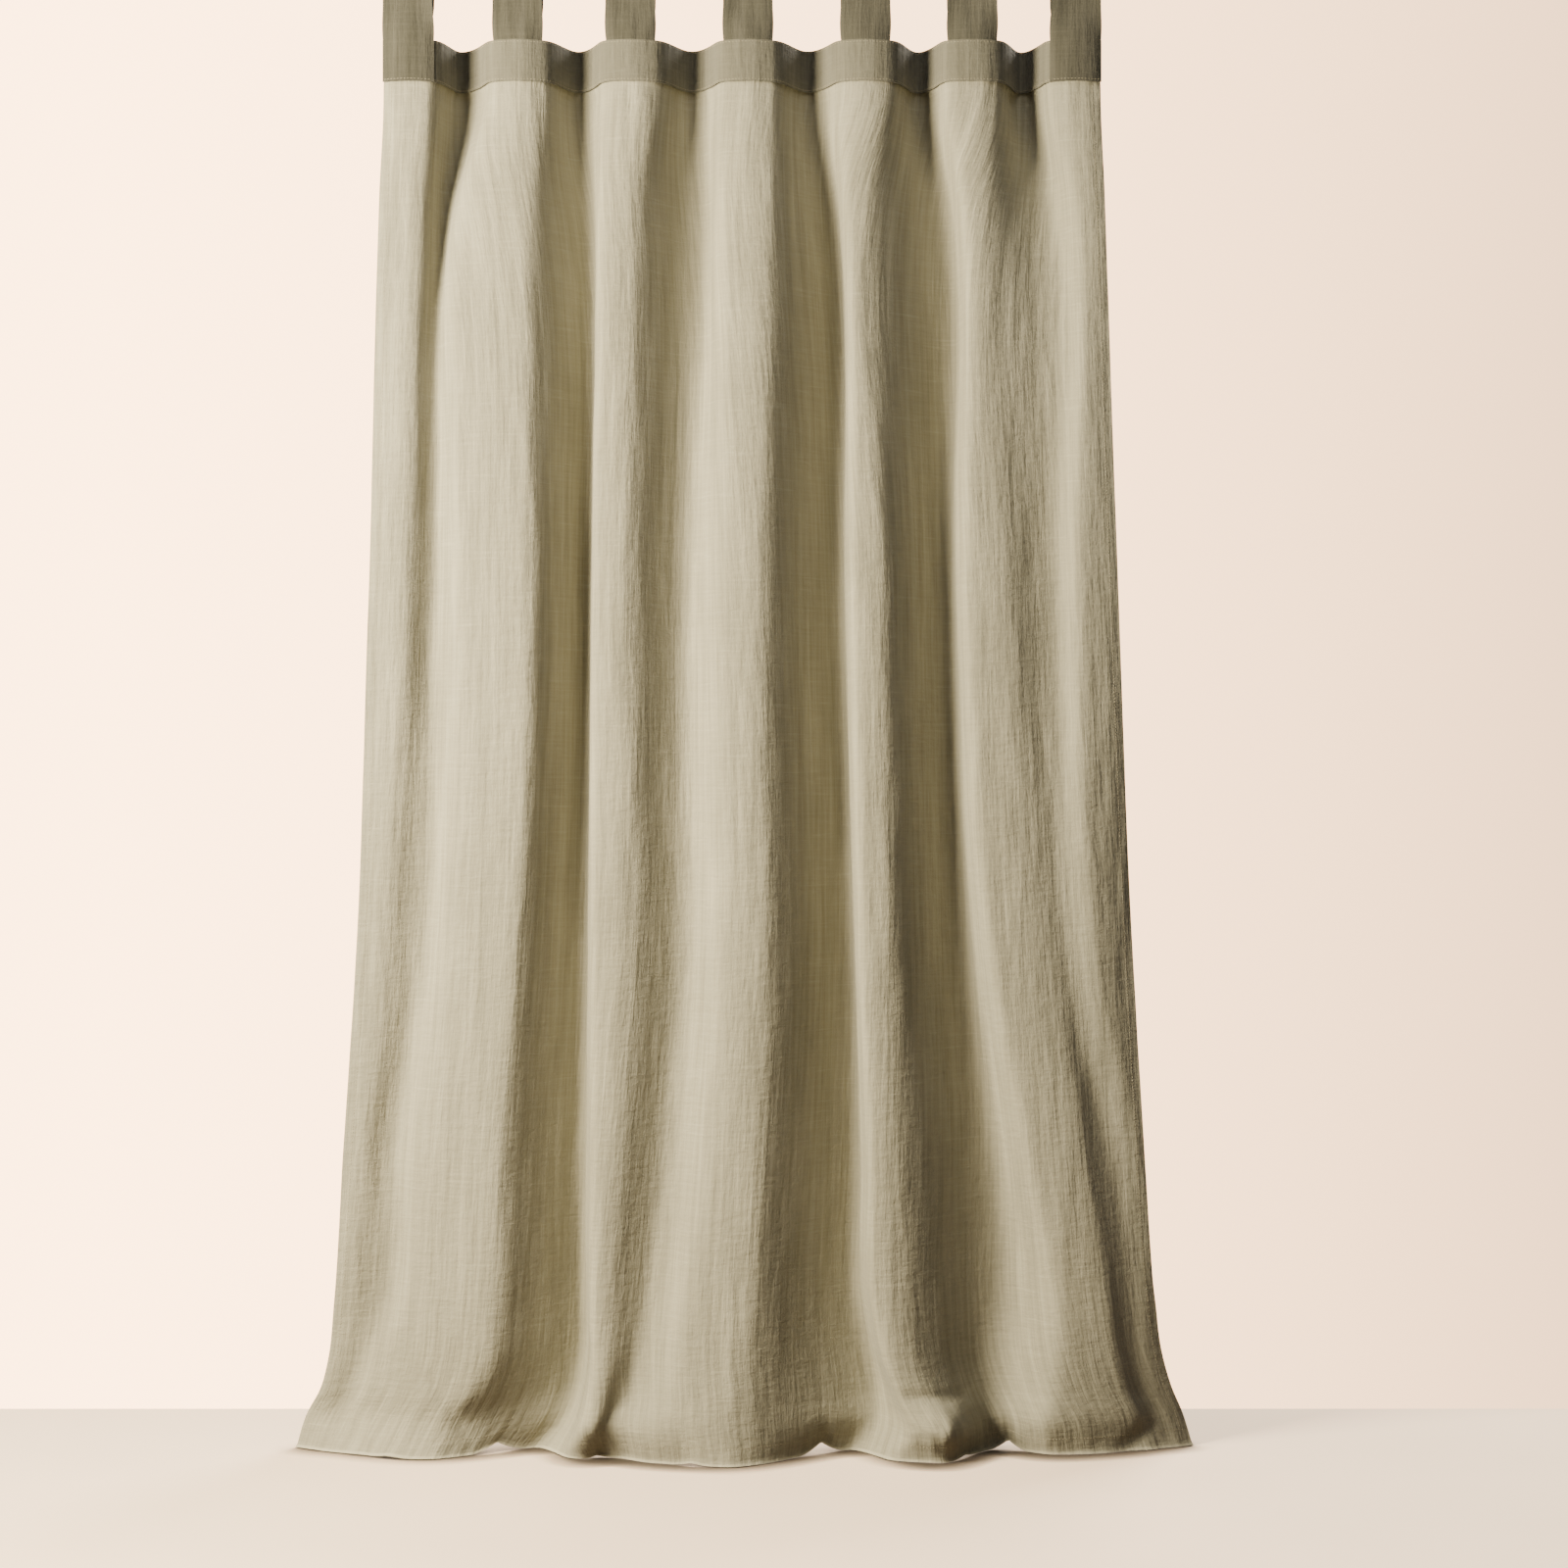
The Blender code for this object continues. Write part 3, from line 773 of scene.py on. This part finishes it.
class Finish(Nodes):
    """A material and the nodes that make it."""

    def __init__(self, name, viewport):
        self.material = bpy.data.materials.new(name)
        self.material.use_nodes = True
        self.material.diffuse_color = (*viewport, 1.0)
        super().__init__(self.material.node_tree)
        self.shader = self.tree.nodes["Principled BSDF"]

    def set(self, **values):
        for key, value in values.items():
            self.feed(self.shader.inputs[key.replace("_", " ")], value)


def linen(name, light, dark, hem=False):
    """Slub linen: drawn-out threads both ways, a plain weave, and soft creases."""
    f = Finish(name, light)
    place = f.add("ShaderNodeUVMap", {"uv_map": "cloth"})
    look = {
        kind: f.threads(place, (across, down), detail, seed)
        for kind, (across, down, detail, seed) in WEAVE.items()
    }
    for kind, (low, high) in SLUBS.items():
        look[kind] = f.band(look[kind], low, high)
    tone = 0.5
    for kind, share in TONE.items():
        tone = tone + share * (look[kind] if kind in SLUBS else look[kind] - 0.5)
    tint = f.mix(f.band(tone, 0.0, TONE_TOP), dark, light)
    # A pale band along the hem's lowest edge: a painted highlight on its rolled rim
    if hem:
        height = f.add("ShaderNodeSeparateXYZ", None, {"Vector": place}, out=1)
        rim = f.band(height + RIM_WAVER * (look["cloud"] - 0.5), RIM_START, RIM_FULL)
        tint = f.mix(RIM_STRENGTH * rim, tint, tuple(RIM_HIGHLIGHT_PALE * c for c in light))
    relief = sum(share * look[kind] for kind, share in RELIEF.items())
    bump = f.add("ShaderNodeBump", None, {"Strength": 0.9, "Distance": 1.0, "Height": relief})
    f.set(Base_Color=tint, Roughness=0.93, Normal=bump)
    f.set(Specular_IOR_Level=0.18, Sheen_Weight=0.110, Sheen_Roughness=0.55)
    return f.material


def stiffener(name, tint):
    """Interlining: matted fibres with no weave."""
    f = Finish(name, tint)
    place = f.add("ShaderNodeUVMap", {"uv_map": "cloth"})
    fibres = f.threads(place, (700.0, 500.0), 4.0)
    dark = tuple(0.82 * c for c in tint)
    bump = f.add("ShaderNodeBump", None, {"Strength": 0.6, "Distance": 1.0, "Height": 0.0002 * fibres})
    f.set(Base_Color=f.mix(f.band(fibres, 0.3, 0.7), dark, tint), Roughness=0.95, Normal=bump)
    return f.material


def sewing(name, tint):
    """Spun thread: a slight twist in tone along it."""
    f = Finish(name, tint)
    place = f.add("ShaderNodeTexCoord", out=3)
    twist = f.add("ShaderNodeTexNoise", None, {"Vector": place, "Scale": 1400.0, "Detail": 1.0})
    dark = tuple(0.72 * c for c in tint)
    f.set(Base_Color=f.mix(f.band(twist, 0.35, 0.65), dark, tint), Roughness=0.70)
    return f.material


def screed(name, tint):
    """The floor: pale with faint clouds, with a painted contact shadow where the cloth touches it, and dim in
    what it sends on.
    """
    f = Finish(name, tint)
    place = f.add("ShaderNodeTexCoord", out=3)
    clouds = f.add("ShaderNodeTexNoise", None, {"Vector": place, "Scale": 2.2, "Detail": 5.0})
    dark = tuple(0.93 * c for c in tint)
    clouded = f.mix(f.band(clouds, 0.35, 0.65), dark, tint)
    # Ambient occlusion darkens the floor's colour and glow near the cloth: a painted contact shadow
    open_ = f.add("ShaderNodeAmbientOcclusion", {"samples": 8}, {"Distance": CONTACT_SHADOW_REACH}, out=1)
    unshadowed = open_ ** CONTACT_SHADOW_DEPTH
    f.set(
        Base_Color=f.mix(unshadowed, CONTACT_SHADOW_TINT, clouded), Roughness=0.85,
        Emission_Color=f.mix(unshadowed, (0.0, 0.0, 0.0), FLOOR_GLOW_TINT), Emission_Strength=FLOOR_GLOW,
    )
    dim = f.add("ShaderNodeBsdfDiffuse", None, {"Color": (*(FLOOR_BOUNCE * c for c in tint), 1.0)})
    f.seen_and_felt(Value(f.tree, f.shader.outputs[0]), dim, "Material Output")
    return f.material


FINISHES = {}


def finish(key):
    """Each finish, made once."""
    tints = bpy.context.scene.curtain_finishes
    makers = {
        "panel_linen": lambda: linen("slub_linen", tints.linen, tints.linen_dark, hem=True),
        "heading_linen": lambda: linen("heading_slub_linen", tints.heading, tints.heading_dark),
        "tab_linen": lambda: linen("tab_slub_linen", tints.tab, tints.tab_dark),
        "heading_backing": lambda: stiffener("matted_interlining", tints.backing),
        "sewing_thread": lambda: sewing("spun_thread", tints.thread),
        "floor": lambda: screed("pale_screed", tints.floor),
    }
    if key not in FINISHES:
        FINISHES[key] = makers[key]()
    return FINISHES[key]


# ---------------------------------------------------------------- operators

class CURTAIN_OT_panel(bpy.types.Operator):
    """Make the hanging panel of slub linen"""

    bl_idname = "curtain.panel"
    bl_label = "Panel"

    def execute(self, context):
        sizes = context.scene.curtain_sizes
        piece = layer("linen_panel", "panel", 0.0, sizes.panel_cloth, finish("panel_linen"))
        return {"FINISHED"}


class CURTAIN_OT_heading(bpy.types.Operator):
    """Make the heading's band, stiffening layer and back facing"""

    bl_idname = "curtain.heading"
    bl_label = "Heading"

    def execute(self, context):
        sizes = context.scene.curtain_sizes
        rows = (HEADING_TOP, HEADING_BASE, HEADING_ROWS)
        columns = (0.0, sizes.flat_width, COLUMNS)
        for name, node, offset, thickness, key in (
            ("front_band", "heading_band", BAND_AT, sizes.band_cloth, "heading_linen"),
            ("stiffening", "heading_interlining", INTERLINING_AT, sizes.interlining, "heading_backing"),
            ("back_facing", "heading_back_facing", FACING_AT, sizes.facing_cloth, "heading_linen"),
        ):
            piece = layer(name, node, offset, thickness, finish(key), columns, rows)
        return {"FINISHED"}


class CURTAIN_OT_hems(bpy.types.Operator):
    """Make the turned side hems and bottom hem"""

    bl_idname = "curtain.hems"
    bl_label = "Hems"

    def execute(self, context):
        sizes = context.scene.curtain_sizes
        width = sizes.flat_width
        side_top, side_low = HEADING_BASE - LAYER_GAP, HEM_LOW + BOTTOM_HEM + LAYER_GAP
        side_rows, side_flat = (side_top, side_low, SIDE_HEM_ROWS), (SIDE_HEM, side_top - side_low)
        left = (0.0, SIDE_HEM, SIDE_HEM_COLUMNS)
        right = (width - SIDE_HEM, width, SIDE_HEM_COLUMNS)
        low_rows = (HEM_LOW + BOTTOM_HEM, HEM_LOW, BOTTOM_HEM_ROWS)
        linen_slot = "panel_linen"
        for name, node, columns, rows, flat in (
            ("side_hem_left", "left_side_hem", left, side_rows, side_flat),
            ("side_hem_right", "right_side_hem", right, side_rows, side_flat),
            ("floor_hem", "bottom_hem", (0.0, width, COLUMNS), low_rows, (width, BOTTOM_HEM)),
        ):
            piece = layer(name, node, HEM_AT, sizes.hem_cloth, finish(linen_slot), columns, rows)
        return {"FINISHED"}


class CURTAIN_OT_tabs(bpy.types.Operator):
    """Make the seven cloth tabs that loop over the rod"""

    bl_idname = "curtain.tabs"
    bl_label = "Tabs"

    def outline(self, lapped):
        """The tab from the side, as y and z: up the front leg, over the rod and down the back leg."""
        front = LAPPED_LEG_AT if lapped else FRONT_LEG_AT
        front_end = HEADING_BASE + LAYER_GAP if lapped else HEADING_TOP - TAB_TUCK
        kink = HEADING_TOP + LAYER_GAP

        def touch(y, side):
            return np.arctan2(kink, y) + side * np.arccos(ROD_AT_TAB / np.hypot(y, kink))

        def slope(start, end):
            shares = np.linspace(0, 1, SLOPE_POINTS)[1:-1]
            return [tuple(np.array(start) * (1 - t) + np.array(end) * t) for t in shares]

        start, end = touch(front, -1) % (2 * np.pi), touch(BACK_LEG_AT, 1)
        turns = np.linspace(start, end, LOOP_POINTS)
        loop = [(ROD_AT_TAB * np.cos(a), ROD_AT_TAB * np.sin(a)) for a in turns]
        up = [(front, z) for z in np.linspace(front_end, kink, LEG_POINTS)]
        down = [(BACK_LEG_AT, z) for z in np.linspace(kink, HEADING_TOP - TAB_TUCK, BACK_POINTS)]
        return np.array(up + slope(up[-1], loop[0]) + loop + slope(loop[-1], down[0]) + down)

    def execute(self, context):
        sizes = context.scene.curtain_sizes
        sheet = cloth()
        across = np.linspace(-1, 1, TAB_COLUMNS) * TAB_WIDTH / 2
        for k, x in enumerate(TAB_CENTRES):
            outline = self.outline(lapped=k in (0, TABS - 1))
            along = run(outline)
            ss, aa = np.meshgrid(across, along)
            y, z = (np.repeat(outline[:, axis, None], len(across), axis=1) for axis in (0, 1))
            held = soft(np.clip(1 - (z - HEADING_TOP) / TAB_HELD, 0, 1)[..., None])
            offset = np.where(held > 0, y[..., None], 0)
            seat, _ = sheet.at(sheet.place_of(x) + ss, np.minimum(z, HEADING_TOP), offset)
            seat[:, :, 2] = z
            points = seat * held + np.stack([x + ss, y, z], axis=2) * (1 - held)
            loose = np.clip((z - HEADING_TOP) / TAB_LOOSE, 0, 1) * (y < 0)
            points[:, :, 1] -= TAB_CREASE * loose * noise(
                ss / TAB_CREASE_CELL[0] + z * TAB_CREASE_SLANT, z / TAB_CREASE_CELL[1], TAB_SEED + k
            )
            flat = np.stack([ss + TAB_CLOTH_AT + k, aa], axis=2)
            piece = grid_piece(f"tab_loop_{k + 1}", points, flat, sizes.tab_cloth, finish("tab_linen"))
            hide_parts(f"tab_{k + 1}")
            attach(piece, ROOT if k == 0 else f"tab_{k + 1}")
            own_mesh(piece)
        return {"FINISHED"}


class CURTAIN_OT_stitching(bpy.types.Operator):
    """Make the rows of stitches"""

    bl_idname = "curtain.stitching"
    bl_label = "Stitching"

    def execute(self, context):
        sizes = context.scene.curtain_sizes
        width = sizes.flat_width
        proud = sizes.thread * STITCH_PROUD
        on_band = BAND_AT - sizes.band_cloth / 2 - proud
        on_panel = -sizes.panel_cloth / 2 - proud
        on_lapped = LAPPED_LEG_AT - sizes.tab_cloth / 2 - proud
        top, seam = HEADING_TOP - STITCH_INSET, HEADING_BASE + STITCH_INSET
        hem = HEM_LOW + BOTTOM_HEM
        inner = (TAB_WIDTH + TAB_STITCH_INSET, width - TAB_WIDTH - TAB_STITCH_INSET)
        sides = (HEADING_BASE - STITCH_INSET, hem + STITCH_INSET)
        left, right = SIDE_HEM - SIDE_STITCH_INSET, width - SIDE_HEM + SIDE_STITCH_INSET
        rows = [
            ("band_top_stitches", "heading_top_stitch", [(u, top) for u in inner], on_band),
            ("band_seam_stitches", "heading_seam_stitch", [(u, seam) for u in inner], on_band),
            ("side_stitches_left", "left_hem_stitch", [(left, z) for z in sides], on_panel),
            ("side_stitches_right", "right_hem_stitch", [(right, z) for z in sides], on_panel),
            ("floor_hem_stitches", "bottom_hem_stitch",
             [(u, hem) for u in (STITCH_INSET, width - STITCH_INSET)], on_panel),
        ]
        for k, middle in ((0, TAB_WIDTH / 2), (TABS - 1, TAB_WIDTH / 2 + (width - TAB_WIDTH))):
            path = [(middle + side * (TAB_WIDTH / 2 - STITCH_INSET), seam) for side in (-1, 1)]
            rows.append((f"tab_end_stitches_{k + 1}", f"tab_{k + 1}_end_stitch", path, on_lapped))
        for name, node, path, offset in rows:
            stitches(name, node, path, offset, finish("sewing_thread"))
        return {"FINISHED"}


class CURTAIN_OT_stage(bpy.types.Operator):
    """Set the floor, the light of the room and the camera"""

    bl_idname = "curtain.stage"
    bl_label = "Stage"

    def execute(self, context):
        self.floor()
        self.surroundings(context.scene.curtain_finishes)
        for lamp in LAMPS:
            self.light(*lamp)
        self.camera()
        return {"FINISHED"}

    def floor(self):
        bpy.ops.object.select_all(action="DESELECT")
        bpy.ops.mesh.primitive_plane_add(size=1.0)
        floor = bpy.context.active_object
        floor.name = "pale_floor"
        wide, deep = FLOOR_SIZE
        bpy.ops.object.mode_set(mode="EDIT")
        bpy.ops.transform.resize(value=(wide, deep, 1.0))
        bpy.ops.transform.translate(value=(0.0, WALL_FOOT - deep / 2, FLOOR_LEVEL))
        bpy.ops.object.mode_set(mode="OBJECT")
        floor.data.materials.append(finish("floor"))

    def surroundings(self, tints):
        """A plain wall for the eye, shaded from left to right, and an even glow for the cloth."""
        world = bpy.data.worlds.new("room")
        bpy.context.scene.world = world
        world.use_nodes = True
        room = Nodes(world.node_tree)
        across = room.add("ShaderNodeSeparateXYZ", None, {0: room.add("ShaderNodeTexCoord")})
        wall = room.mix(room.band(across, *WALL_TURN), tints.wall_left, tints.wall_right)
        backdrop = world.node_tree.nodes["Background"]
        room.feed(backdrop.inputs["Color"], wall)
        room.feed(backdrop.inputs["Strength"], WALL_STRENGTH)
        fill = {"Color": (*tints.fill, 1.0), "Strength": FILL_STRENGTH}
        felt = room.add("ShaderNodeBackground", None, fill)
        room.seen_and_felt(Value(room.tree, backdrop.outputs[0]), felt, "World Output")

    def light(self, name, place, aim, size, power, tint):
        data = bpy.data.lights.new(name, "AREA")
        data.size = size
        data.energy = power
        data.color = tint
        lamp = placed(name, data)
        lamp.visible_camera = False
        lamp.location = place
        lamp.rotation_euler = (Vector(aim) - Vector(place)).to_track_quat("-Z", "Y").to_euler()

    def camera(self):
        data = bpy.data.cameras.new("eye")
        data.sensor_width = EYE_SENSOR
        data.lens = EYE_LENS
        eye = placed("eye", data)
        eye.location = EYE_AT
        eye.rotation_euler = (np.pi / 2, 0.0, 0.0)
        bpy.context.scene.camera = eye


class CURTAIN_PT_sidebar(bpy.types.Panel):
    """The curtain's pieces and settings"""

    bl_label = "Tab-Top Curtain"
    bl_space_type = "VIEW_3D"
    bl_region_type = "UI"
    bl_category = "Curtain"

    def draw(self, context):
        for made in OPERATORS:
            self.layout.operator(made.bl_idname)
        for group in (context.scene.curtain_sizes, context.scene.curtain_finishes):
            box = self.layout.box()
            for key in group.bl_rna.properties.keys():
                if key not in ("rna_type", "name"):
                    box.prop(group, key)


OPERATORS = (
    CURTAIN_OT_panel,
    CURTAIN_OT_heading,
    CURTAIN_OT_hems,
    CURTAIN_OT_tabs,
    CURTAIN_OT_stitching,
    CURTAIN_OT_stage,
)
CLASSES = (CURTAIN_PG_sizes, CURTAIN_PG_finishes) + OPERATORS + (CURTAIN_PT_sidebar,)


def register():
    for made in CLASSES:
        bpy.utils.register_class(made)
    bpy.types.Scene.curtain_sizes = PointerProperty(type=CURTAIN_PG_sizes)
    bpy.types.Scene.curtain_finishes = PointerProperty(type=CURTAIN_PG_finishes)


def unregister():
    del bpy.types.Scene.curtain_finishes
    del bpy.types.Scene.curtain_sizes
    for made in reversed(CLASSES):
        bpy.utils.unregister_class(made)


def corners(box):
    return [[float(value) for value in corner] for corner in box]


def main():
    register()
    for made in OPERATORS:
        group, verb = made.bl_idname.split(".")
        getattr(getattr(bpy.ops, group), verb)()


if __name__ == "__main__":
    main()
